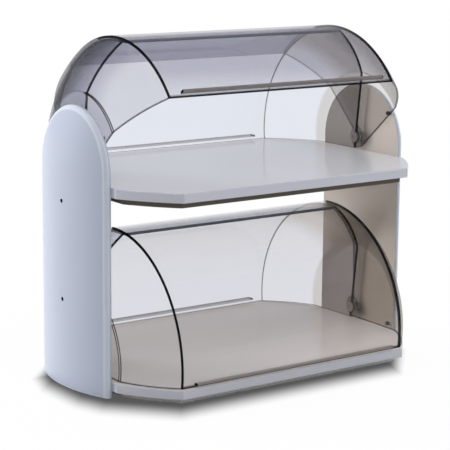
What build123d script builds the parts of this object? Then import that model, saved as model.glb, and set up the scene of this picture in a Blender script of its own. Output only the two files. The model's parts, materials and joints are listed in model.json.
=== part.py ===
from build123d import *
import os
from math import cos, hypot, radians, sin, sqrt

# Two-tier countertop bread display bin, in millimetres.
# X runs along the bin, -Y is its front and +Z is up.
# The origin is on the table, under the middle of the bin.
# Angles of a cover are measured about its pivot line, from the front, up and over to the back.

# ---------------------------------------------------------------- driving dimensions

# Covers: a front cover and, nested inside it, a back cover over each tray
cover_radius = 180.6            # outside of a front cover's curved sheet
cover_wall = 3.0
cover_nest_gap = 1.6            # between a back cover and the front cover outside it
sheet_half_length = 200.8       # middle of the bin to the seam between sheet and shoulder
cheek_half_length = 258.6       # middle of the bin to a front cover's outer cheek face
cheek_radius = 104.3            # pivot line to the corner between shoulder and cheek
shoulder_bulge = 6.5            # rise of the shoulder's curved profile over its chord
cheek_corner_radius = 7.0
front_top_angle = 92.3          # top edge of a closed front cover
back_top_angle = 96.4           # the same for a back cover, measured from the back
upper_front_raised = 42.8       # how far the upper front cover stands open
edge_drop = 20.0                # pivot line down to a closed cover's lower edge
ear_radius = 17.5               # round end of a cover, about its pivot line
ear_corner_radius = 6.0

# Grip strip outside each sheet, stiffener on a back cover's top edge
grip_reach = 6.5                # beyond a front cover's sheet
grip_lift = 3.7                 # above the sheet's lower edge
grip_half_length = 181.0
grip_corner_radius = 2.0
stiffener_depth = 1.0           # inside the sheet
stiffener_end_gap = 2.0         # from the seam to the root of its sloped end
stiffener_slope = 2.5

# Small round bumpers that keep a front cover's cheeks off the end panels
bumper_radius = 3.0
bumper_height = 3.6
bumper_forward = 80.0           # from the pivot line, closed
bumper_drop = 12.5

# Tiers
foot_height = 1.5
tier_pitch = 280.0
cover_rest_gap = 0.4            # closed cover to tray

# Trays
tray_height = 23.5              # tray and its base together
tray_skirt = 14.4
tray_skin = 3.2
tray_margin = 3.0               # the tray's edge outside the curved sheet
tray_corner_margin = 1.0        # the tray's corner outside the seam
tray_shoulder_bulge = 4.0
tray_edge_radius = 2.2
tray_lip_radius = 1.0
base_setback = 12.0             # the base stands this far inside the tray's edge
base_wall = 3.0
base_floor = 2.5
base_edge_radius = 2.0
rib_thickness = 2.0
rib_rows = 3
rib_columns = 5

# End panels: a flat inner plate on the rim of a bulged outer shell
panel_gap = 4.0                 # front cover's cheek to the inner plate
panel_half_depth = 92.0
arch_drop = 6.5                 # the upper pivot down to the middle of the arch
panel_lift = 1.0                # above the table
panel_wall = 3.0
panel_bulge = 27.2              # inner face to the crown of the bulge
rim_width = 10.2                # inner face to the crease
rim_step = 6.5                  # the rim leans in this far on its way to the crease
rim_bow = 0.8
rim_land = 2.2                  # straight part of the shell's rim, next to the plate
rim_corner_radius = 2.8
crease_radius = 3.0
plate_thickness = 3.0
plate_chamfer = 0.8

# Pivots
pin_radius = 4.0
pin_clearance = 0.08
pin_end_length = 1.5            # pin past its nut
pin_head_radius = 6.0
pin_head_height = 1.4
cap_radius = 8.5
cap_height = 2.8
cap_chamfer = 0.9
cap_dimple_radius = 3.2
cap_dimple_depth = 0.8
axial_clearance = 0.3           # pin head to the inner cheek
washer_radius = 9.0
washer_play = 0.1               # each side of a washer between two cheeks
spacer_radius = 8.0
nut_across_flats = 13.0
nut_height = 5.0
fit_clearance = 0.02            # a fastener's shank in its own hole

# Screws
shell_screw_heights = (131.0, 275.0)
screw_well_radius = 3.25
screw_tower_radius = 6.5
screw_seat_thickness = 4.0
tower_gap = 0.3
shell_screw_depth = 14.0        # crown of the bulge down to the screw's seat
shell_screw_radius = 1.5
shell_screw_head_radius = 3.0
shell_screw_head_height = 2.4
tray_screw_spread = 60.0        # to each side of the middle
tray_screw_drop = 9.0           # below the tray's top
tray_screw_radius = 2.0
tray_screw_head_radius = 4.0
tray_screw_head_height = 2.4
tray_screw_boss_radius = 5.0
tray_screw_boss_length = 10.0

# Feet
foot_radius = 9.0
foot_chamfer = 0.5
foot_inset_x = 16.8             # from the tray's corner
foot_inset_y = 13.6             # from the base's front edge
foot_stud_radius = 3.0
foot_stud_height = 2.5

# ---------------------------------------------------------------- worked-out places

lower_pivot = foot_height + tray_height + cover_rest_gap + edge_drop
pivot_heights = {"lower": lower_pivot, "upper": lower_pivot + tier_pitch}
tray_below_pivot = edge_drop + cover_rest_gap
nest_depth = cover_wall + cover_nest_gap
panel_face = cheek_half_length + panel_gap
arch_height = pivot_heights["upper"] - arch_drop
plate_back = panel_face + plate_thickness
crown = panel_face + panel_bulge
tray_half_depth = cover_radius + tray_margin
tray_corner_x = sheet_half_length + tray_corner_margin
base_end = panel_face - base_setback
skirt_inside = panel_face - tray_skin
tray_screw_tip = base_end - tray_screw_boss_length
foot_x = tray_corner_x - foot_inset_x
foot_y = tray_half_depth - base_setback - foot_inset_y
inner_cheek_face = cheek_half_length - nest_depth - cover_wall
screw_seat = crown - shell_screw_depth
tower_end = screw_seat - screw_seat_thickness
sides = {"left": -1, "right": 1}

os.makedirs("parts", exist_ok=True)


def save(builder, name):
    """Label a finished piece and write it."""
    builder.part.label = name
    export_step(builder.part, f"parts/{name}.step")


# ---------------------------------------------------------------- covers

def radial(angle):
    """Direction from a pivot line at an angle from the front, up and over to the back."""
    return Vector(0, -cos(radians(angle)), sin(radians(angle)))


def shoulder_arc(depth):
    """Seam, middle and cheek corner of the shoulder's profile, a depth inside the outermost one.

    Points are (distance along X, distance from the pivot line).
    """
    run = cheek_half_length - sheet_half_length
    fall = cover_radius - cheek_radius
    chord = hypot(run, fall)
    radius = (chord**2 / 4 + shoulder_bulge**2) / (2 * shoulder_bulge)
    offset = radius - shoulder_bulge
    centre_x = (sheet_half_length + cheek_half_length) / 2 - offset * fall / chord
    centre_r = (cover_radius + cheek_radius) / 2 - offset * run / chord
    seam_r = cover_radius - depth
    cheek_x = cheek_half_length - depth
    seam_x = centre_x + sqrt((radius - depth)**2 - (seam_r - centre_r)**2)
    cheek_r = centre_r + sqrt((radius - depth)**2 - (cheek_x - centre_x)**2)
    middle = (
        centre_x + (radius - depth) * fall / chord,
        centre_r + (radius - depth) * run / chord,
    )
    return (seam_x, seam_r), middle, (cheek_x, cheek_r)


def profile_plane(pivot, raised):
    """Plane through the pivot line and the top of a cover: local X along the bin, local Y radial."""
    return Plane(origin=(0, 0, pivot), x_dir=(1, 0, 0), z_dir=radial(raised))


def side_plane(pivot, raised, x=0.0):
    """Plane across the pivot line: local X towards the closed cover's front, local Y up."""
    return Plane(origin=(x, 0, pivot), x_dir=radial(raised), z_dir=(-1, 0, 0))


def cover_sector(top_angle):
    """Side view of a closed cover: sloping lower edge, round ear at the pivot, radial top edge."""
    reach = 2 * cover_radius
    reach_drop = 2 * edge_drop - ear_radius
    top = radians(top_angle)
    ear_middle = radians((top_angle + 270) / 2)
    with BuildSketch() as sector:
        with BuildLine():
            Line((reach, -reach_drop), (0, -ear_radius))
            ThreePointArc(
                (0, -ear_radius),
                (ear_radius * cos(ear_middle), ear_radius * sin(ear_middle)),
                (ear_radius * cos(top), ear_radius * sin(top)),
            )
            Line(
                (ear_radius * cos(top), ear_radius * sin(top)),
                (reach * cos(top), reach * sin(top)),
            )
            Line((reach * cos(top), reach * sin(top)), (reach, reach))
            Line((reach, reach), (reach, -reach_drop))
        make_face()
        ear_corner = (ear_radius * cos(top), ear_radius * sin(top), 0)
        fillet(sector.vertices().sort_by_distance(ear_corner)[0], ear_corner_radius)
        Circle(pin_radius + pin_clearance, mode=Mode.SUBTRACT)
    return sector.sketch


def cover_end(pivot, raised, depth, top_angle):
    """Right-hand end of a front-facing cover: shoulder and cheek with the pivot ear."""
    outer_seam, outer_middle, outer_cheek = shoulder_arc(depth)
    inner_seam, inner_middle, inner_cheek = shoulder_arc(depth + cover_wall)
    with BuildPart() as end:
        with BuildSketch(profile_plane(pivot, raised)) as wall:
            with BuildLine():
                ThreePointArc(outer_seam, outer_middle, outer_cheek)
                Polyline(outer_cheek, (outer_cheek[0], 0), (inner_cheek[0], 0), inner_cheek)
                ThreePointArc(inner_cheek, inner_middle, inner_seam)
                Line(inner_seam, outer_seam)
            make_face()
            outer_corner = wall.vertices().sort_by_distance((*outer_cheek, 0))[0]
            fillet(outer_corner, cheek_corner_radius)
            inner_corner = wall.vertices().sort_by_distance((*inner_cheek, 0))[0]
            fillet(inner_corner, cheek_corner_radius - cover_wall)
        revolve(axis=Axis((0, 0, pivot), (1, 0, 0)))
        with BuildSketch(side_plane(pivot, raised, cheek_half_length)):
            add(cover_sector(top_angle))
        extrude(amount=cheek_half_length, mode=Mode.INTERSECT)
    return end.part


def cover_sheet(pivot, raised, depth, top_angle):
    """Curved sheet of a front-facing cover with the grip strip along its outside."""
    outer_seam = shoulder_arc(depth)[0]
    inner_seam = shoulder_arc(depth + cover_wall)[0]
    middle_radius = outer_seam[1] - cover_wall / 2
    grip_drop = edge_drop - grip_lift
    grip_root = sqrt(middle_radius**2 - grip_drop**2)
    up = radial(raised + 90)
    grip_plane = Plane(
        origin=Vector(0, 0, pivot) - up * grip_drop,
        x_dir=(1, 0, 0),
        z_dir=up,
    )
    with BuildPart() as sheet:
        with BuildSketch(profile_plane(pivot, raised)):
            Polygon(
                (-outer_seam[0], outer_seam[1]),
                (outer_seam[0], outer_seam[1]),
                (inner_seam[0], inner_seam[1]),
                (-inner_seam[0], inner_seam[1]),
                align=None,
            )
        revolve(axis=Axis((0, 0, pivot), (1, 0, 0)))
        with BuildSketch(side_plane(pivot, raised, sheet_half_length)):
            add(cover_sector(top_angle))
        extrude(amount=2 * sheet_half_length, mode=Mode.INTERSECT)
        with BuildSketch(grip_plane) as grip:
            with Locations((0, -grip_root)):
                Rectangle(
                    2 * grip_half_length,
                    cover_radius + grip_reach - grip_root,
                    align=(Align.CENTER, Align.MAX),
                )
            fillet(grip.vertices().group_by(Axis.Y)[0], grip_corner_radius)
        extrude(amount=cover_wall)
    return sheet.part


def top_stiffener(pivot, raised, depth, top_angle):
    """Strip that hangs inward from a back cover's top edge, with sloped ends."""
    seam_x, seam_radius = shoulder_arc(depth + cover_wall)[0]
    root = seam_radius + cover_wall / 2
    tip = seam_radius - stiffener_depth
    root_x = seam_x - stiffener_end_gap
    tip_x = root_x - stiffener_slope
    plane = Plane(
        origin=(0, 0, pivot),
        x_dir=(1, 0, 0),
        z_dir=radial(raised + top_angle - 90),
    )
    with BuildPart() as stiffener:
        with BuildSketch(plane):
            Polygon(
                (-root_x, root),
                (root_x, root),
                (tip_x, tip),
                (-tip_x, tip),
                align=None,
            )
        extrude(amount=cover_wall)
    return stiffener.part


def bumper(pivot, raised):
    """Right-hand bumper on a front cover's outer cheek face."""
    with BuildPart() as button:
        with BuildSketch(side_plane(pivot, raised, cheek_half_length)):
            with Locations((bumper_forward, -bumper_drop)):
                Circle(bumper_radius)
        extrude(amount=-bumper_height)
    return button.part


for tier, pivot in pivot_heights.items():
    raised = upper_front_raised if tier == "upper" else 0.0

    front_end = cover_end(pivot, raised, 0.0, front_top_angle)
    with BuildPart() as piece:
        add(front_end)
    save(piece, f"{tier}_front_right_end")
    with BuildPart() as piece:
        mirror(front_end, about=Plane.YZ)
    save(piece, f"{tier}_front_left_end")
    with BuildPart() as piece:
        add(cover_sheet(pivot, raised, 0.0, front_top_angle))
    save(piece, f"{tier}_front_sheet")
    with BuildPart() as piece:
        add(bumper(pivot, raised))
        mirror(piece.part, about=Plane.YZ)
    save(piece, f"{tier}_front_bumpers")

    # a back cover is modelled facing the front, then turned to the back
    with BuildPart() as piece:
        mirror(cover_end(pivot, 0.0, nest_depth, back_top_angle), about=Plane.XZ)
    back_end = piece.part
    save(piece, f"{tier}_back_right_end")
    with BuildPart() as piece:
        mirror(back_end, about=Plane.YZ)
    save(piece, f"{tier}_back_left_end")
    with BuildPart() as facing_front:
        add(cover_sheet(pivot, 0.0, nest_depth, back_top_angle))
        add(top_stiffener(pivot, 0.0, nest_depth, back_top_angle))
    with BuildPart() as piece:
        mirror(facing_front.part, about=Plane.XZ)
    save(piece, f"{tier}_back_sheet")


# ---------------------------------------------------------------- trays

def tray_outline(inset):
    """Plan of a tray: straight front and back, bowed shoulders, straight ends at the panels."""
    half_depth = tray_half_depth
    end_depth = cheek_radius
    with BuildSketch() as outline:
        with BuildLine() as quarter:
            Line((0, half_depth), (tray_corner_x, half_depth))
            SagittaArc((tray_corner_x, half_depth), (panel_face, end_depth), tray_shoulder_bulge)
            Line((panel_face, end_depth), (panel_face, 0))
            mirror(quarter.line, about=Plane.XZ)
            mirror(quarter.line, about=Plane.YZ)
        make_face()
        if inset:
            offset(amount=-inset, kind=Kind.INTERSECTION, mode=Mode.REPLACE)
    return outline.sketch


def end_plane(side, x):
    """Plane across the bin at one end, facing outward: local X along Y, local Y up."""
    return Plane(origin=(side * x, 0, 0), x_dir=(0, side, 0), z_dir=(side, 0, 0))


def tray_screw_places(top):
    return [(-tray_screw_spread, top - tray_screw_drop), (tray_screw_spread, top - tray_screw_drop)]


def make_tray(top):
    """Flat tray with a skirt all round, open underneath."""
    with BuildPart() as tray:
        with BuildSketch(Plane.XY.offset(top - tray_skirt)):
            add(tray_outline(0))
        extrude(amount=tray_skirt)
        fillet(tray.faces().sort_by(Axis.Z)[-1].edges(), tray_edge_radius)
        fillet(tray.faces().sort_by(Axis.Z)[0].edges(), tray_lip_radius)
        with BuildSketch(Plane.XY.offset(top - tray_skirt)):
            add(tray_outline(tray_skin))
        extrude(amount=tray_skirt - tray_skin, mode=Mode.SUBTRACT)
        for side in sides.values():
            with BuildSketch(end_plane(side, panel_face)):
                with Locations(tray_screw_places(top)):
                    Circle(tray_screw_radius + fit_clearance)
            extrude(amount=-2 * tray_skin, mode=Mode.SUBTRACT)
    return tray


def make_tray_base(top, footed):
    """Ribbed pan under a tray, set back from its edge, with bosses for the tray screws."""
    bottom = top - tray_height
    inside_height = tray_height - tray_skin - base_floor
    with BuildPart() as base:
        with BuildSketch(Plane.XY.offset(bottom)):
            add(tray_outline(base_setback))
        extrude(amount=tray_height - tray_skin)
        fillet(base.faces().sort_by(Axis.Z)[0].edges(), base_edge_radius)
        with BuildSketch(Plane.XY.offset(bottom + base_floor)):
            add(tray_outline(base_setback + base_wall))
        extrude(amount=inside_height, mode=Mode.SUBTRACT)
        # ribs, trimmed to the inside of the pan
        with BuildPart(mode=Mode.PRIVATE) as ribs:
            with BuildSketch(Plane.XY.offset(bottom + base_floor)):
                with GridLocations(0, 2 * tray_half_depth / (rib_rows + 1), 1, rib_rows):
                    Rectangle(2 * base_end, rib_thickness)
                with GridLocations(2 * base_end / (rib_columns + 1), 0, rib_columns, 1):
                    Rectangle(rib_thickness, 2 * tray_half_depth)
            extrude(amount=inside_height)
            with BuildSketch(Plane.XY.offset(bottom)):
                add(tray_outline(base_setback + base_wall))
            extrude(amount=tray_height, mode=Mode.INTERSECT)
        add(ribs.part)
        for side in sides.values():
            with BuildSketch(end_plane(side, skirt_inside)):
                with Locations(tray_screw_places(top)):
                    Circle(tray_screw_boss_radius)
            extrude(amount=tray_screw_tip - skirt_inside)
            with BuildSketch(end_plane(side, skirt_inside)):
                with Locations(tray_screw_places(top)):
                    Circle(tray_screw_radius + fit_clearance)
            extrude(amount=tray_screw_tip - skirt_inside, mode=Mode.SUBTRACT)
        if footed:
            with BuildSketch(Plane.XY.offset(bottom)):
                with GridLocations(2 * foot_x, 2 * foot_y, 2, 2):
                    Circle(foot_stud_radius + fit_clearance)
            extrude(amount=base_floor, mode=Mode.SUBTRACT)
    return base


for tier, pivot in pivot_heights.items():
    tray_top = pivot - tray_below_pivot
    save(make_tray(tray_top), f"{tier}_tray")
    save(make_tray_base(tray_top, footed=tier == "lower"), f"{tier}_tray_base")

with BuildPart() as rubber_feet:
    with BuildSketch():
        with GridLocations(2 * foot_x, 2 * foot_y, 2, 2):
            Circle(foot_radius)
    extrude(amount=foot_height)
    chamfer(rubber_feet.faces().group_by(Axis.Z)[0].edges(), foot_chamfer)
    with BuildSketch(Plane.XY.offset(foot_height)):
        with GridLocations(2 * foot_x, 2 * foot_y, 2, 2):
            Circle(foot_stud_radius)
    extrude(amount=foot_stud_height)
save(rubber_feet, "rubber_feet")


# ---------------------------------------------------------------- end panels

def panel_section(inset, half=False):
    """Plan of an outer shell, an inset inside its outer face; half keeps the +Y side."""
    edge = (plate_back, panel_half_depth - inset)
    land = (plate_back + rim_land - inset / 2, panel_half_depth - inset)
    crease = (panel_face + rim_width - inset, panel_half_depth - rim_step - inset)
    top = (crown - inset, 0)
    bulge_rise = top[0] - crease[0]
    with BuildSketch() as section:
        with BuildLine():
            Polyline((plate_back, 0), edge, land)
            SagittaArc(land, crease, rim_bow)
            RadiusArc(crease, top, (crease[1]**2 + bulge_rise**2) / (2 * bulge_rise))
            Line(top, (plate_back, 0))
        make_face()
        if not inset:
            fillet(section.vertices().sort_by_distance((*land, 0))[0], rim_corner_radius)
            fillet(section.vertices().sort_by_distance((*crease, 0))[0], crease_radius)
        if not half:
            mirror(about=Plane.XZ)
    return section.sketch


def panel_form(inset, bottom):
    """Upright with an arched top, both with the panel's bulged section."""
    with BuildPart() as form:
        with BuildSketch(Plane.XY.offset(arch_height)):
            add(panel_section(inset))
        extrude(amount=bottom - arch_height)
        with BuildSketch(Plane.XY.offset(arch_height)):
            add(panel_section(inset, half=True))
        revolve(axis=Axis((0, 0, arch_height), (1, 0, 0)), revolution_arc=180)
    return form.part


with BuildPart() as right_outer_shell:
    add(panel_form(0, panel_lift))
    add(panel_form(panel_wall, panel_lift + panel_wall), mode=Mode.SUBTRACT)
    with BuildSketch(end_plane(1, tower_end)):
        with Locations([(0, height) for height in shell_screw_heights]):
            Circle(screw_tower_radius)
    extrude(amount=crown - panel_wall / 2 - tower_end)
    with BuildSketch(end_plane(1, tower_end)):
        with Locations([(0, height) for height in shell_screw_heights]):
            Circle(shell_screw_radius + fit_clearance)
    extrude(amount=screw_seat_thickness, mode=Mode.SUBTRACT)
    with BuildSketch(end_plane(1, screw_seat)):
        with Locations([(0, height) for height in shell_screw_heights]):
            Circle(screw_well_radius)
    extrude(amount=shell_screw_depth, mode=Mode.SUBTRACT)
save(right_outer_shell, "right_outer_shell")
with BuildPart() as left_outer_shell:
    mirror(right_outer_shell.part, about=Plane.YZ)
save(left_outer_shell, "left_outer_shell")

with BuildPart() as right_inner_plate:
    with BuildSketch(end_plane(1, panel_face)):
        with Locations((0, arch_height)):
            Circle(panel_half_depth)
            Rectangle(
                2 * panel_half_depth,
                arch_height - panel_lift,
                align=(Align.CENTER, Align.MAX),
            )
    extrude(amount=plate_thickness)
    chamfer(right_inner_plate.faces().sort_by(Axis.X)[0].edges(), plate_chamfer)
    with BuildSketch(end_plane(1, panel_face)):
        with Locations([(0, height) for height in pivot_heights.values()]):
            Circle(pin_radius + fit_clearance)
        for height in pivot_heights.values():
            with Locations(tray_screw_places(height - tray_below_pivot)):
                Circle(tray_screw_radius + fit_clearance)
    extrude(amount=plate_thickness, mode=Mode.SUBTRACT)
    with BuildSketch(end_plane(1, plate_back)):
        with Locations([(0, height) for height in shell_screw_heights]):
            Circle(screw_tower_radius)
            Circle(shell_screw_radius + fit_clearance, mode=Mode.SUBTRACT)
    extrude(amount=tower_end - tower_gap - plate_back)
save(right_inner_plate, "right_inner_plate")
with BuildPart() as left_inner_plate:
    mirror(right_inner_plate.part, about=Plane.YZ)
save(left_inner_plate, "left_inner_plate")


# ---------------------------------------------------------------- screws and pivots

for side_name, side in sides.items():
    with BuildPart() as shell_screws:
        with BuildSketch(end_plane(side, screw_seat)):
            with Locations([(0, height) for height in shell_screw_heights]):
                Circle(shell_screw_head_radius)
        extrude(amount=shell_screw_head_height)
        with BuildSketch(end_plane(side, plate_back)):
            with Locations([(0, height) for height in shell_screw_heights]):
                Circle(shell_screw_radius)
        extrude(amount=screw_seat - plate_back)
    save(shell_screws, f"{side_name}_shell_screws")

    with BuildPart() as tray_screws:
        for height in pivot_heights.values():
            with BuildSketch(end_plane(side, plate_back)):
                with Locations(tray_screw_places(height - tray_below_pivot)):
                    Circle(tray_screw_head_radius)
            extrude(amount=tray_screw_head_height)
            with BuildSketch(end_plane(side, tray_screw_tip)):
                with Locations(tray_screw_places(height - tray_below_pivot)):
                    Circle(tray_screw_radius)
            extrude(amount=plate_back - tray_screw_tip)
    save(tray_screws, f"{side_name}_tray_screws")


def ring(side, height, start, length, outer_radius):
    """Flat ring round a pivot pin, from a distance along X outward."""
    with BuildPart() as washer:
        with BuildSketch(end_plane(side, start)):
            with Locations((0, height)):
                Circle(outer_radius)
                Circle(pin_radius + fit_clearance, mode=Mode.SUBTRACT)
        extrude(amount=length)
    return washer


head_face = inner_cheek_face - axial_clearance
between_cheeks = cheek_half_length - nest_depth + washer_play
for tier, height in pivot_heights.items():
    for side_name, side in sides.items():
        place = f"{tier}_{side_name}"
        with BuildPart() as pin:
            with BuildSketch(end_plane(side, head_face - pin_head_height)):
                with Locations((0, height)):
                    Circle(pin_head_radius)
            extrude(amount=pin_head_height)
            with BuildSketch(end_plane(side, head_face)):
                with Locations((0, height)):
                    Circle(pin_radius)
            extrude(amount=plate_back + nut_height + pin_end_length - head_face)
        save(pin, f"{place}_pivot_pin")

        with BuildPart() as cap:
            with BuildSketch(end_plane(side, head_face - cap_height)):
                with Locations((0, height)):
                    Circle(cap_radius)
            extrude(amount=cap_height)
            rim = cap.faces().sort_by(Axis.X)[0 if side > 0 else -1].edges()
            chamfer(rim, cap_chamfer)
            with BuildSketch(end_plane(side, head_face - cap_height)):
                with Locations((0, height)):
                    Circle(cap_dimple_radius)
            extrude(amount=cap_dimple_depth, mode=Mode.SUBTRACT)
            with BuildSketch(end_plane(side, head_face)):
                with Locations((0, height)):
                    Circle(pin_head_radius + fit_clearance)
            extrude(amount=-pin_head_height, mode=Mode.SUBTRACT)
        save(cap, f"{place}_pivot_cap")

        washer = ring(side, height, between_cheeks, cover_nest_gap - 2 * washer_play, washer_radius)
        save(washer, f"{place}_cheek_washer")
        spacer_start = cheek_half_length + washer_play
        spacer = ring(side, height, spacer_start, panel_face - spacer_start, spacer_radius)
        save(spacer, f"{place}_panel_spacer")

        with BuildPart() as nut:
            with BuildSketch(end_plane(side, plate_back)):
                with Locations((0, height)):
                    RegularPolygon(nut_across_flats / 2, 6, major_radius=False)
                    Circle(pin_radius + fit_clearance, mode=Mode.SUBTRACT)
            extrude(amount=nut_height)
        save(nut, f"{place}_pivot_nut")
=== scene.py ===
"""Looks of the countertop bread display bin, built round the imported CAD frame.

Metres, +Z up, -Y the front.
"""
import json
import math

import bpy
from mathutils import Matrix, Vector


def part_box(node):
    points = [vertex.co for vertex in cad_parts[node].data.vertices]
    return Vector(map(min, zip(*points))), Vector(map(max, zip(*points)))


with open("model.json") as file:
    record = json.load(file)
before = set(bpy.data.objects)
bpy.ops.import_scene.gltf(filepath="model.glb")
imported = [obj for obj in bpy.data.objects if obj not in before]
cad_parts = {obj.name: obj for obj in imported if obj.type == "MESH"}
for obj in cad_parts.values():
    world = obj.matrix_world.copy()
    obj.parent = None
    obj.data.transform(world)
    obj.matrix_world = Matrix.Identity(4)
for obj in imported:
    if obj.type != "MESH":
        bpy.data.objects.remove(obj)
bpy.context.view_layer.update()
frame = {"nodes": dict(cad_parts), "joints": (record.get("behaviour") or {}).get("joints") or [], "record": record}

SCENE = bpy.context.scene
NODES = frame["nodes"]
MATERIAL_SLOTS = {row["node"]: row["material_slot"] for row in frame["record"]["subparts"]}
JOINTS = {joint["name"]: joint for joint in frame["joints"]}

# ---------------------------------------------------------------- places read from the frame

PIVOT_Z = {tier: JOINTS[f"{tier}_front_hinge"]["pos_m"][2] for tier in ("lower", "upper")}
COVER_RADIUS = {
    "front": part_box("lower_front_sheet")[1].z - PIVOT_Z["lower"],
    "back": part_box("lower_back_sheet")[1].z - PIVOT_Z["lower"],
}
SEAM_X = {side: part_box(f"lower_{side}_sheet")[1].x for side in ("front", "back")}
UPPER_RAISED_DEG = -JOINTS["upper_front_hinge"]["range_deg"][0]

# ---------------------------------------------------------------- camera

IMAGE_SIZE = 450                  # pixels each way
CAMERA_PLACE = (-1.4537, -2.0464, 0.7132)
CAMERA_YAW = 0.6166               # from +Y towards +X
CAMERA_PITCH = 0.1985             # downwards
CAMERA_ROLL = 0.0095
CAMERA_REACH = 50.0               # farthest thing shown
FOCAL_PIXELS = 1670.6
SENSOR_MM = 36.0


def make_camera():
    """Camera at the fitted viewpoint, with its axes worked out from yaw, pitch and roll."""
    forward = Vector((
        math.sin(CAMERA_YAW) * math.cos(CAMERA_PITCH),
        math.cos(CAMERA_YAW) * math.cos(CAMERA_PITCH),
        -math.sin(CAMERA_PITCH),
    ))
    level_right = Vector((math.cos(CAMERA_YAW), -math.sin(CAMERA_YAW), 0))
    level_up = level_right.cross(forward)
    right = level_right * math.cos(CAMERA_ROLL) + level_up * math.sin(CAMERA_ROLL)
    up = level_up * math.cos(CAMERA_ROLL) - level_right * math.sin(CAMERA_ROLL)
    data = bpy.data.cameras.new("camera")
    data.sensor_width = SENSOR_MM
    data.lens = FOCAL_PIXELS / IMAGE_SIZE * SENSOR_MM
    data.clip_end = CAMERA_REACH
    camera = bpy.data.objects.new("camera", data)
    SCENE.collection.objects.link(camera)
    axes = Matrix((right, up, -forward)).transposed()
    camera.matrix_world = Matrix.Translation(CAMERA_PLACE) @ axes.to_4x4()
    SCENE.camera = camera


make_camera()

# ---------------------------------------------------------------- node writing

MIX_FIRST, MIX_SECOND, MIX_RESULT = 6, 7, 2        # the Mix node's colour sockets
WHITE = (1, 1, 1, 1)


class Graph:
    """A material's or world's node tree, with short calls for the nodes used here."""

    def __init__(self, owner):
        owner.use_nodes = True
        self.tree = owner.node_tree
        self.tree.nodes.clear()

    def node(self, kind, inputs=None, **settings):
        made = self.tree.nodes.new(kind)
        for name, value in settings.items():
            setattr(made, name, value)
        for key, value in (inputs or {}).items():
            self.feed(made.inputs[key], value)
        return made

    def feed(self, socket, value):
        if isinstance(value, Field):
            value = value.socket
        if isinstance(value, bpy.types.NodeSocket):
            self.tree.links.new(value, socket)
        else:
            socket.default_value = value

    def field(self, socket):
        return Field(self, socket)

    def coordinates(self):
        return self.node("ShaderNodeTexCoord").outputs

    def noise(self, place, scale, detail):
        made = self.node("ShaderNodeTexNoise", {"Vector": place, "Scale": scale, "Detail": detail})
        return made.outputs["Fac"]

    def bump(self, height, strength, depth):
        inputs = {"Height": height, "Strength": strength, "Distance": depth}
        return self.node("ShaderNodeBump", inputs).outputs[0]

    def matt(self, colour):
        return self.node("ShaderNodeBsdfDiffuse", {"Color": colour}).outputs[0]

    def mix_colour(self, factor, first, second):
        made = self.node("ShaderNodeMix", data_type="RGBA")
        self.feed(made.inputs["Factor"], factor)
        self.feed(made.inputs[MIX_FIRST], first)
        self.feed(made.inputs[MIX_SECOND], second)
        return made.outputs[MIX_RESULT]

    def mix_shader(self, factor, first, second):
        return self.node("ShaderNodeMixShader", {0: factor, 1: first, 2: second}).outputs[0]

    def surface(self, shader):
        self.node("ShaderNodeOutputMaterial", {0: shader})


class Field:
    """A number socket that takes plain arithmetic."""

    def __init__(self, graph, socket):
        self.graph = graph
        self.socket = socket

    def math(self, operation, other=None):
        inputs = {0: self}
        if other is not None:
            inputs[1] = other
        made = self.graph.node("ShaderNodeMath", inputs, operation=operation)
        return Field(self.graph, made.outputs[0])

    def __add__(self, other):
        return self.math("ADD", other)

    def __sub__(self, other):
        return self.math("SUBTRACT", other)

    def __mul__(self, other):
        return self.math("MULTIPLY", other)

    def __truediv__(self, other):
        return self.math("DIVIDE", other)

    def __lt__(self, other):
        return self.math("LESS_THAN", other)

    def __gt__(self, other):
        return self.math("GREATER_THAN", other)

    def __abs__(self):
        return self.math("ABSOLUTE")

    def either(self, other):
        return self.math("MAXIMUM", other)

    def both(self, other):
        return self.math("MINIMUM", other)

    def root(self):
        return self.math("SQRT")


def new_material(name):
    """A material and the graph that writes its nodes."""
    material = bpy.data.materials.new(name)
    return material, Graph(material)


def opaque(colour):
    """A colour with the fourth number that Blender's sockets take."""
    return (*colour, 1)


def vector_fields(graph, socket):
    """X, Y and Z of a vector socket."""
    split = graph.node("ShaderNodeSeparateXYZ", {0: socket})
    return [graph.field(output) for output in split.outputs]


def ramp_field(graph, value, start, end, reach):
    """Smooth rise of a number from 0 at start to reach at end."""
    made = graph.node("ShaderNodeMapRange", {
        "Value": value,
        "From Min": start,
        "From Max": end,
        "To Min": 0.0,
        "To Max": reach,
    }, interpolation_type="SMOOTHSTEP")
    return graph.field(made.outputs[0])


# ---------------------------------------------------------------- masks on the moulded pieces

PANEL_CREASE_X = 0.2728           # crease between an outer shell's rim and its bulge
CREASE_BLUR = 0.0006              # half the width over which the rim's colour ends
WELL_RADIUS = 0.0036
WELL_HEIGHTS = (0.131, 0.275)
WELL_MOUTH_X = 0.2892             # no well's wall lies farther out
UPRIGHT = 0.6                     # a tray's side: how far its normal may point up or down
EDGEWAYS = 0.8                    # a plate's outline: how far its normal may point sideways


def on_rim(graph, coords):
    """The leaning rim of an outer shell, next to the plate, painted paler for the light it catches."""
    x = vector_fields(graph, coords["Object"])[0]
    outer, inner = PANEL_CREASE_X + CREASE_BLUR, PANEL_CREASE_X - CREASE_BLUR
    return ramp_field(graph, abs(x), outer, inner, 1.0)


def in_screw_well(graph, coords):
    """Walls of the wells that the shell's screws sit in, painted near black for the shade inside them."""
    x, y, z = vector_fields(graph, coords["Object"])
    low, high = [(y * y + (z - at) * (z - at)).root() for at in WELL_HEIGHTS]
    near = (low < WELL_RADIUS).either(high < WELL_RADIUS)
    return near.both(abs(x) < WELL_MOUTH_X)


def on_side(graph, coords):
    """Upright faces of a tray, as against its top, which get painted shade."""
    return abs(vector_fields(graph, coords["Normal"])[2]) < UPRIGHT


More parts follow.
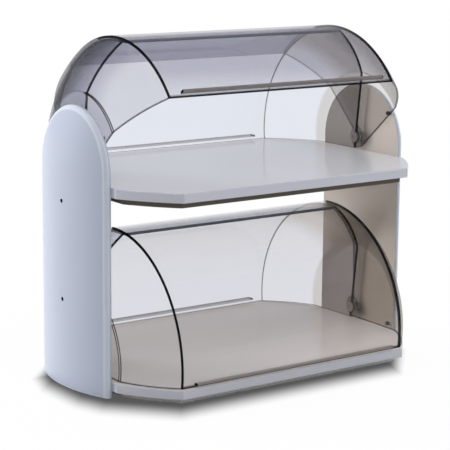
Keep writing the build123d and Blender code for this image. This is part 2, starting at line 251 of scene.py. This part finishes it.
def on_outline(graph, coords):
    """The thin outline of a plate, as against its two faces."""
    return abs(vector_fields(graph, coords["Normal"])[0]) < EDGEWAYS


# ---------------------------------------------------------------- plastic, steel and rubber

PLASTIC_IOR = 1.5
CLOUD_SCALE, CLOUD_DETAIL = 7.0, 3.0
CLOUD_TONE = 0.03                 # how much lighter and darker the clouds make the colour
CLOUD_GLOSS = 0.06                # how much the roughness changes over them
PEEL_SCALE, PEEL_DETAIL = 260.0, 2.0
GRAIN_SCALE, GRAIN_DETAIL = 1500.0, 1.0
PEEL_SHARE = 0.7                  # of the skin's height: the grain has the rest
SKIN_BUMP, SKIN_DEPTH = 0.12, 0.0003
COAT_ROUGHNESS = 0.08

RING_SCALE, RING_WOBBLE = 900.0, 0.4
RING_BUMP, RING_DEPTH = 0.15, 0.0002
SMEAR_SCALE, SMEAR_DETAIL = 400.0, 2.0
SMEAR_GLOSS = 0.2

PIT_SCALE, PIT_DETAIL = 2200.0, 4.0
PIT_BUMP, PIT_DEPTH = 0.4, 0.0003
RUBBER_ROUGHNESS = 0.7
DUST = 1.8                        # brightness of the dusty spots over the plain rubber's


def moulded_plastic(name, colour, roughness, coat=0.0, shine=0.5, spots=()):
    """Injection-moulded plastic: faint mottle in the colour, orange-peel gloss, fine grain.

    Each of the spots is a mask and the colour under it; some spots are painted light or shade.
    """
    material, graph = new_material(name)
    coords = graph.coordinates()
    place = coords["Object"]
    cloud = graph.noise(place, CLOUD_SCALE, CLOUD_DETAIL)
    lighter = [min(1.0, c * (1 + CLOUD_TONE)) for c in colour]
    darker = [c * (1 - CLOUD_TONE) for c in colour]
    tone = graph.mix_colour(cloud, opaque(darker), opaque(lighter))
    for mask, spot_colour in spots:
        tone = graph.mix_colour(mask(graph, coords), tone, opaque(spot_colour))
    peel = graph.field(graph.noise(place, PEEL_SCALE, PEEL_DETAIL))
    grain = graph.field(graph.noise(place, GRAIN_SCALE, GRAIN_DETAIL))
    skin = peel * PEEL_SHARE + grain * (1 - PEEL_SHARE)
    plastic = graph.node("ShaderNodeBsdfPrincipled", {
        "Base Color": tone,
        "Roughness": graph.field(cloud) * CLOUD_GLOSS + (roughness - CLOUD_GLOSS / 2),
        "IOR": PLASTIC_IOR,
        "Specular IOR Level": shine,
        "Coat Weight": coat,
        "Coat Roughness": COAT_ROUGHNESS,
        "Normal": graph.bump(skin, SKIN_BUMP, SKIN_DEPTH),
    })
    graph.surface(plastic.outputs[0])
    return material


def turned_steel(name, colour, roughness):
    """Steel with fine turning rings."""
    material, graph = new_material(name)
    place = graph.coordinates()["Object"]
    rings = graph.node("ShaderNodeTexWave", {
        "Vector": place,
        "Scale": RING_SCALE,
        "Distortion": RING_WOBBLE,
    }, wave_type="RINGS", rings_direction="X")
    smear = graph.field(graph.noise(place, SMEAR_SCALE, SMEAR_DETAIL))
    steel = graph.node("ShaderNodeBsdfPrincipled", {
        "Base Color": opaque(colour),
        "Metallic": 1.0,
        "Roughness": smear * SMEAR_GLOSS + roughness,
        "Normal": graph.bump(rings.outputs["Fac"], RING_BUMP, RING_DEPTH),
    })
    graph.surface(steel.outputs[0])
    return material


def plain_rubber(name, colour):
    """Matt black rubber with a fine pitted skin."""
    material, graph = new_material(name)
    pits = graph.noise(graph.coordinates()["Object"], PIT_SCALE, PIT_DETAIL)
    rubber = graph.node("ShaderNodeBsdfPrincipled", {
        "Base Color": graph.mix_colour(pits, opaque(colour), opaque([c * DUST for c in colour])),
        "Roughness": RUBBER_ROUGHNESS,
        "Normal": graph.bump(pits, PIT_BUMP, PIT_DEPTH),
    })
    graph.surface(rubber.outputs[0])
    return material


# ---------------------------------------------------------------- smoke acrylic
# A wall is a cover's curved sheet or its left or right end.

ACRYLIC_IOR = 1.49
ACRYLIC_ROUGHNESS = 0.03
# painted shade: the back covers' right ends at a slant and the lower front cover's right end are darker than the
# rest, standing in for the covers' shadow on the plates behind
# what one face of a wall lets through, seen straight on and at a slant
TINTS_AND_PAINTED_SHADE = {
    ("upper", "front", "sheet"): ((0.919, 0.915, 0.925), (0.796, 0.789, 0.822)),
    ("upper", "front", "left"): ((0.919, 0.915, 0.925), (0.800, 0.793, 0.825)),
    ("upper", "front", "right"): ((0.920, 0.912, 0.912), (0.835, 0.825, 0.820)),
    ("upper", "back", "sheet"): ((0.881, 0.897, 0.932), (0.881, 0.892, 0.925)),
    ("upper", "back", "left"): ((0.881, 0.890, 0.915), (0.881, 0.885, 0.910)),
    ("upper", "back", "right"): ((0.883, 0.897, 0.930), (0.795, 0.785, 0.780)),
    ("lower", "front", "sheet"): ((0.972, 0.962, 0.962), (0.972, 0.962, 0.956)),
    ("lower", "front", "left"): ((0.972, 0.962, 0.962), (0.972, 0.962, 0.956)),
    ("lower", "front", "right"): ((0.840, 0.818, 0.787), (0.790, 0.770, 0.742)),
    ("lower", "back", "sheet"): ((0.890, 0.903, 0.935), (0.885, 0.895, 0.930)),
    ("lower", "back", "left"): ((0.890, 0.900, 0.925), (0.885, 0.895, 0.920)),
    ("lower", "back", "right"): ((0.890, 0.900, 0.930), (0.810, 0.797, 0.795)),
}
SLANT_START, SLANT_END = 0.26, 0.42        # slants between which the tint changes
MIRROR = {"sheet": 0.55, "left": 0.35, "right": 0.20}  # share of the surface's reflection kept

# walls darken as they turn away: slants where that starts and ends, and how dark they get
END_SHADE = {"left": (0.38, 0.80, 0.28), "right": (0.44, 0.72, 0.18)}
OUTLINE_SHADE = {
    "sheet": (0.95, 1.00, 0.30),
    "left": (0.92, 0.98, 0.60),
    "right": (0.95, 1.00, 0.40),
}

# black of cut edges and seams, and of the walls' darkening, painted shade below the grip among it
EDGE_AND_SHADE_BLACK = (0.010, 0.011, 0.014)
EDGE_NAVY = (0.025, 0.055, 0.100)          # along a sheet's top edge
EDGE_BROWN = (0.24, 0.20, 0.18)
EDGE_COLOUR = {"front": EDGE_AND_SHADE_BLACK, "back": EDGE_BROWN}

# where the drawn lines run on a closed cover
SEAM_SLOPE = 0.355                         # run of the mitred seam over its rise
CREASE_RADIUS = {"front": 0.1043, "back": 0.1034}  # from the pivot line
LOW_EDGE_DROP, LOW_EDGE_FALL = 0.0175, 0.01384     # under the pivot line, and its slope
TOP_ANGLE = {"front": 92.3, "back": 96.4}  # degrees from the pivot line's level to the top edge

# half width of each kind of line, or whole width along the lower edge, and how dark it is
# from 0 for clear to 1
SEAM_WIDTH = {"front": 0.0016, "back": 0.0008}
SEAM_DARK = {"front": 0.95, "back": 0.40}
CREASE_WIDTH = {"front": 0.0010, "back": 0.0006}
CREASE_DARK = {
    ("front", "left"): 0.92,
    ("front", "right"): 0.30,
    ("back", "left"): 0.06,
    ("back", "right"): 0.06,
}
LOW_WIDTH = {"front": 0.0014, "back": 0.0004}
LOW_DARK = {
    ("front", "sheet"): 0.85,
    ("front", "end"): 0.55,
    ("back", "sheet"): 0.25,
    ("back", "end"): 0.25,
}
TOP_WIDTH = {
    ("front", "sheet"): 0.0008,
    ("front", "end"): 0.0008,
    ("back", "sheet"): 0.0022,
    ("back", "end"): 0.0018,
}
TOP_DARK = {
    ("front", "sheet"): 0.05,
    ("front", "end"): 0.30,
    ("back", "sheet"): 0.90,
    ("back", "end"): 0.95,
}
CREASE_FADE = 41.0                         # degrees up a cover above which its crease goes faint
SEAM_FADE = {"upper": 62.0, "lower": 100.0}  # the same for a front cover's seams
FADE_BLUR = 0.002                          # half the length over which a line goes faint
FAINT = 0.12

# the grip strip along a sheet's lower edge
GRIP_COLOUR = {"front": (0.28, 0.245, 0.23), "back": (0.34, 0.30, 0.28)}
GRIP_CLEAR = {"front": 0.12, "back": 0.45}  # share of the strip that lets light through
GRIP_ROUGHNESS = 0.30
GRIP_TOP, GRIP_BOTTOM = 0.0133, 0.0163     # below the pivot line of a closed cover
GRIP_SLACK = 0.0002                        # added above and below them
GRIP_PROUD = 0.0006                        # the strip is what stands out this far
GRIP_END = 0.1810                          # the middle of the bin to the strip's end
GRIP_END_WIDTH = 0.0012                    # dark at each end of the strip
# painted shade on a front sheet below its grip strip, how dark from 0 to 1
UNDER_GRIP_PAINTED_SHADE = 0.40                     # below a front cover's strip


def cover_place(tier, side, y, height):
    """Distances ahead of and above the pivot line, as they are when the cover is closed."""
    raised = math.radians(UPPER_RAISED_DEG if (tier, side) == ("upper", "front") else 0)
    facing = -1 if side == "front" else 1
    ahead = y * (facing * math.cos(raised)) + height * math.sin(raised)
    above = height * math.cos(raised) - y * (facing * math.sin(raised))
    return ahead, above


def strong_below(graph, ahead, above, degrees):
    """1 up to an angle above the cover's lower edge, and faint beyond it."""
    turn = math.radians(degrees)
    beyond = above * math.cos(turn) - ahead * math.sin(turn)
    return ramp_field(graph, beyond, FADE_BLUR, -FADE_BLUR, 1 - FAINT) + FAINT


def clear_wall(graph, slant, tier, side, wall):
    """Tinted acrylic that shows what is behind it, with the gloss of its surface."""
    straight, slanted = TINTS_AND_PAINTED_SHADE[tier, side, wall]
    turned = ramp_field(graph, slant, SLANT_START, SLANT_END, 1.0)
    tint = graph.mix_colour(turned, opaque(straight), opaque(slanted))
    clear = graph.node("ShaderNodeBsdfTransparent", {"Color": tint}).outputs[0]
    gloss = graph.node("ShaderNodeBsdfGlossy", {"Color": WHITE, "Roughness": ACRYLIC_ROUGHNESS})
    backwards = graph.field(graph.node("ShaderNodeNewGeometry").outputs["Backfacing"])
    ior = backwards * (1 / ACRYLIC_IOR - ACRYLIC_IOR) + ACRYLIC_IOR
    reflection = graph.field(graph.node("ShaderNodeFresnel", {"IOR": ior}).outputs[0])
    return graph.mix_shader(reflection * MIRROR[wall], clear, gloss.outputs[0])


def smoke_acrylic(name, tier, side, wall):
    """Clear smoke acrylic that lets light straight through, dark at its seams and cut edges."""
    material, graph = new_material(name)
    part = "sheet" if wall == "sheet" else "end"
    x, y, z = vector_fields(graph, graph.coordinates()["Object"])
    height = z - PIVOT_Z[tier]
    radius = (y * y + height * height).root()
    ahead, above = cover_place(tier, side, y, height)
    slant = graph.node("ShaderNodeLayerWeight").outputs["Facing"]

    # glued seams, moulding creases and cut edges
    seam_line = (radius - COVER_RADIUS[side]) * SEAM_SLOPE + SEAM_X[side]
    edges = (abs(abs(x) - seam_line) < SEAM_WIDTH[side]) * SEAM_DARK[side]
    if side == "front":
        edges = edges * strong_below(graph, ahead, above, SEAM_FADE[tier])
    low_gap = above + LOW_EDGE_DROP + ahead * LOW_EDGE_FALL
    edges = edges.either((low_gap < LOW_WIDTH[side]) * LOW_DARK[side, part])
    if part == "end":
        off_crease = abs(radius - CREASE_RADIUS[side])
        crease = (off_crease < CREASE_WIDTH[side]) * CREASE_DARK[side, wall]
        edges = edges.either(crease * strong_below(graph, ahead, above, CREASE_FADE))
    top = math.radians(TOP_ANGLE[side])
    top_gap = ahead * math.sin(top) - above * math.cos(top)
    top_edge = (abs(top_gap) < TOP_WIDTH[side, part]) * TOP_DARK[side, part]

    # the wall's darkening by slant, and painted shade below a front sheet's grip strip
    shade = ramp_field(graph, slant, *OUTLINE_SHADE[wall])
    if part == "end":
        shade = shade.either(ramp_field(graph, slant, *END_SHADE[wall]))
    elif side == "front":
        # painted shade below a front cover's grip strip
        shade = shade.either((above < -GRIP_BOTTOM - GRIP_SLACK) * UNDER_GRIP_PAINTED_SHADE)

    clear = clear_wall(graph, slant, tier, side, wall)
    black = graph.matt(opaque(EDGE_AND_SHADE_BLACK))
    edge = graph.matt(opaque(EDGE_COLOUR[side]))
    top_shade = graph.matt(opaque(EDGE_NAVY)) if part == "sheet" else black
    surface = graph.mix_shader(shade, clear, black)
    surface = graph.mix_shader(edges, surface, edge)
    surface = graph.mix_shader(top_edge, surface, top_shade)
    if part == "sheet":
        on_grip = (radius > COVER_RADIUS[side] + GRIP_PROUD).both(above < -GRIP_TOP + GRIP_SLACK)
        on_grip = on_grip.both(above > -GRIP_BOTTOM - GRIP_SLACK)
        strip = graph.node("ShaderNodeBsdfPrincipled", {
            "Base Color": opaque(GRIP_COLOUR[side]),
            "Roughness": GRIP_ROUGHNESS,
            "IOR": ACRYLIC_IOR,
        }).outputs[0]
        grip = graph.mix_shader(GRIP_CLEAR[side], strip, clear)
        ended = abs(x) > GRIP_END - GRIP_END_WIDTH
        surface = graph.mix_shader(on_grip, surface, graph.mix_shader(ended, grip, edge))
    graph.surface(surface)
    return material


# ---------------------------------------------------------------- finishes

PANEL_COLOUR = (0.568, 0.620, 0.758)
# painted light: the rim is coloured paler than the shell for the light it catches
RIM_PAINTED_LIGHT = (0.80, 0.85, 0.96)
# painted shade: the wells' walls are near black for the shade inside them
WELL_PAINTED_SHADE = (0.02, 0.02, 0.02)
PLASTICS = {
    "panel_white": {
        "colour": PANEL_COLOUR,
        "roughness": 0.30,
        "coat": 0.1,
        "spots": [(on_rim, RIM_PAINTED_LIGHT), (in_screw_well, WELL_PAINTED_SHADE)],
    },
    "plate_taupe": {
        "colour": (0.60, 0.537, 0.478),
        "roughness": 0.30,
        "spots": [(on_outline, PANEL_COLOUR)],
    },
    # painted shade: each tray's upright sides are coloured darker and bluer than its top, for light falling from
    # above
    "tray_white": {
        "colour": (0.79, 0.795, 0.845),
        "roughness": 0.12,
        "spots": [(on_side, (0.76, 0.775, 0.87))],
    },
    # painted light: the lower tray's copy of tray_white, warmer for the light on the lower tier
    "tray_warm": {
        "colour": (0.850, 0.795, 0.770),
        "roughness": 0.12,
        "spots": [(on_side, (0.74, 0.75, 0.83))],
    },
    # one moulding: base_taupe's dark colour is partly its own taupe and partly painted shade under the tray's
    # skirt; base_pale is its copy for the lower tier, painted pale for the light near the floor
    "base_taupe": {"colour": (0.20, 0.170, 0.145), "roughness": 0.5, "shine": 0.1},
    "base_pale": {"colour": (0.88, 0.87, 0.85), "roughness": 0.4, "shine": 1.0},
    "cap_smoke": {"colour": (0.16, 0.14, 0.125), "roughness": 0.25},
    "washer_nylon": {"colour": (0.62, 0.62, 0.60), "roughness": 0.45},
}
STEELS = {
    "pin_steel": {"colour": (0.60, 0.60, 0.62), "roughness": 0.25},
    # painted shade: the screws are near black, far darker than steel, for the shade in their wells
    "screw_steel": {"colour": (0.04, 0.04, 0.045), "roughness": 0.45},
}
RUBBERS = {
    "bumper_rubber": {"colour": (0.02, 0.02, 0.02)},
    "foot_rubber": {"colour": (0.015, 0.015, 0.015)},
}
MAKERS = ((moulded_plastic, PLASTICS), (turned_steel, STEELS), (plain_rubber, RUBBERS))
FINISHES = {name: make(name, **look) for make, looks in MAKERS for name, look in looks.items()}
# copies of two finishes for the lower tier, painted paler or warmer for the light there, by the slot they stand
# for
LOWER_PAINTED_LIGHT_COPIES = {"base_taupe": "base_pale", "tray_white": "tray_warm"}


def dress_nodes():
    """Every CAD node gets the finish of its slot, the lower tier copies painted for its light; each cover piece
    has its own acrylic.
    """
    for name, node in NODES.items():
        slot = MATERIAL_SLOTS[name]
        # the lower tier takes the copies painted for its light
        if name.startswith("lower_"):
            slot = LOWER_PAINTED_LIGHT_COPIES.get(slot, slot)
        if slot == "smoke_acrylic":
            tier, side, wall = name.split("_")[:3]
            finish = smoke_acrylic(f"acrylic_{name}", tier, side, wall)
            # A ray passes about eight clear faces, and one for shadow counts them too. So of
            # the clear walls only the back covers' ends throw a shadow, or the plates turn black.
            node.visible_shadow = side == "back" and wall != "sheet"
        else:
            finish = FINISHES[slot]
        node.data.materials.clear()
        node.data.materials.append(finish)


dress_nodes()

# ---------------------------------------------------------------- floor

FLOOR_SPAN = 60.0
FLOOR_DIFFUSE = 0.04              # share of the floor's brightness near the bin that lamps give it
FLOOR_FADE = (0.45, 0.80)         # distances over which that share runs out
FLOOR_BOUNCE = 0.56               # what the floor throws back at the bin
# the painted soft shadow: drawn as if it fell away from the lamps behind, and longer that way than it is wide
SHADOW_TURN = 0.6166              # radians between its length and the Y axis
SHADOW_REACH = (0.0125, 0.042)
SHADOW_SHIFT = 1.0                # of its reach, that way
SHADOW_LEVEL = 0.10
QUARTER_OUTLINE = [(0.1960, 0.1720), (0.2728, 0.0900), (0.2870, 0.0450)]


def soft_shadow(graph, place):
    """Painted floor shadow: dark under and before the bin's outline, rising smoothly to 1 outside it."""
    back = list(reversed(QUARTER_OUTLINE))
    outline = [(x, -y) for x, y in QUARTER_OUTLINE] + [(x, y) for x, y in back]
    outline += [(-x, y) for x, y in QUARTER_OUTLINE] + [(-x, -y) for x, y in back]
    cos, sin = math.cos(SHADOW_TURN), math.sin(SHADOW_TURN)

    def turned(x, y):
        return (x * cos - y * sin) / SHADOW_REACH[0], (x * sin + y * cos) / SHADOW_REACH[1]

    across, along = turned(*vector_fields(graph, place)[:2])
    along = along + SHADOW_SHIFT
    corners = [turned(x, y) for x, y in outline]
    outside = None
    for (x0, y0), (x1, y1) in zip(corners, corners[1:] + corners[:1]):
        length = math.hypot(x1 - x0, y1 - y0)
        nx, ny = (y1 - y0) / length, (x0 - x1) / length
        gap = across * nx + along * ny - (x0 * nx + y0 * ny)
        outside = gap if outside is None else outside.either(gap)
    return ramp_field(graph, outside, -1.0, 1.0, 1.0 - SHADOW_LEVEL) + SHADOW_LEVEL


def floor_material():
    """White where it is seen or mirrored, but for the bin's painted shadow; grey in the light it gives."""
    material, graph = new_material("floor")
    seen = graph.node("ShaderNodeLightPath").outputs
    seen_plainly = graph.field(seen["Is Camera Ray"])
    for kind in ("Is Glossy Ray", "Is Transmission Ray"):
        seen_plainly = seen_plainly.either(graph.field(seen[kind]))
    place = graph.node("ShaderNodeNewGeometry").outputs["Position"]
    contact = soft_shadow(graph, place)
    tone = graph.node("ShaderNodeCombineXYZ", {0: contact, 1: contact, 2: contact}).outputs[0]
    glow = graph.node("ShaderNodeEmission", {"Color": tone, "Strength": 1.0}).outputs[0]
    away = graph.node("ShaderNodeVectorMath", {0: place}, operation="LENGTH").outputs["Value"]
    lit_share = graph.node("ShaderNodeMapRange", {
        "Value": away,
        "From Min": FLOOR_FADE[0],
        "From Max": FLOOR_FADE[1],
        "To Min": FLOOR_DIFFUSE,
        "To Max": 0.0,
    }).outputs[0]
    shown = graph.mix_shader(lit_share, glow, graph.matt(tone))
    bounce = graph.matt(opaque([FLOOR_BOUNCE] * 3))
    graph.surface(graph.mix_shader(seen_plainly, bounce, shown))
    return material


def make_floor():
    """Plain white floor with the bin's shadow painted in, darkest where the bin meets it."""
    half = FLOOR_SPAN / 2
    mesh = bpy.data.meshes.new("floor")
    corners = [(-half, -half, 0), (half, -half, 0), (half, half, 0), (-half, half, 0)]
    mesh.from_pydata(corners, [], [(0, 1, 2, 3)])
    floor = bpy.data.objects.new("floor", mesh)
    SCENE.collection.objects.link(floor)
    mesh.materials.append(floor_material())


make_floor()

# ---------------------------------------------------------------- world and lamps

# what gloss mirrors: each end of the ramp is how far up it lies, and its colour
MIRRORED_LOW = (0.10, WHITE)
MIRRORED_HIGH = (0.70, (0.30, 0.31, 0.36, 1))
MIRRORED_STRENGTH = 0.70
AMBIENT_COLOUR = (0.92, 0.96, 1.0, 1)
AMBIENT_STRENGTH = 0.10

LAMP_SIDE = 1.6                   # length of each lamp's sides
LAMP_TARGET = (0, 0, 0.25)
LAMPS = {                         # place and watts
    "back": ((0.0, 2.6, 1.3), 17),
    "back_right": ((1.7, 2.1, 1.3), 10),
    "left": ((-1.85, 2.27, 0.7), 78),
    "right": ((2.9, 0.4, 0.8), 36),
    "right_front": ((2.2, -2.0, 0.9), 11),
    "left_front": ((-1.4, -1.4, 2.1), 10),
    "top": ((0.0, 0.0, 2.8), 14),
    "top_front": ((0.0, -1.8, 2.2), 17),
}


def make_world():
    """White to the camera; to the rest a studio, pale low down and darker overhead."""
    world = bpy.data.worlds.new("studio")
    SCENE.world = world
    graph = Graph(world)
    up = vector_fields(graph, graph.coordinates()["Generated"])[2]
    ramp = graph.node("ShaderNodeValToRGB", {"Fac": up})
    for stop, (level, colour) in zip(ramp.color_ramp.elements, (MIRRORED_LOW, MIRRORED_HIGH)):
        stop.position = level
        stop.color = colour

    def background(colour, strength):
        made = graph.node("ShaderNodeBackground", {"Color": colour, "Strength": strength})
        return made.outputs[0]

    path = graph.node("ShaderNodeLightPath").outputs
    ambient = background(AMBIENT_COLOUR, AMBIENT_STRENGTH)
    mirrored = background(ramp.outputs[0], MIRRORED_STRENGTH)
    soft = graph.mix_shader(path["Is Glossy Ray"], ambient, mirrored)
    plain = graph.field(path["Is Camera Ray"]).either(graph.field(path["Is Transmission Ray"]))
    surface = graph.mix_shader(plain, soft, background(WHITE, 1.0))
    graph.node("ShaderNodeOutputWorld", {0: surface})


def make_lamp(name, place, watts):
    """Square area lamp aimed at the bin, which doesn't show as a patch in anything glossy."""
    data = bpy.data.lights.new(name, "AREA")
    data.size = LAMP_SIDE
    data.energy = watts
    lamp = bpy.data.objects.new(name, data)
    SCENE.collection.objects.link(lamp)
    lamp.visible_glossy = False
    lamp.location = place
    aim = Vector(LAMP_TARGET) - Vector(place)
    lamp.rotation_euler = aim.to_track_quat("-Z", "Y").to_euler()


make_world()
for lamp_name, (lamp_place, lamp_watts) in LAMPS.items():
    make_lamp(lamp_name, lamp_place, lamp_watts)

SCENE.view_settings.view_transform = "Standard"
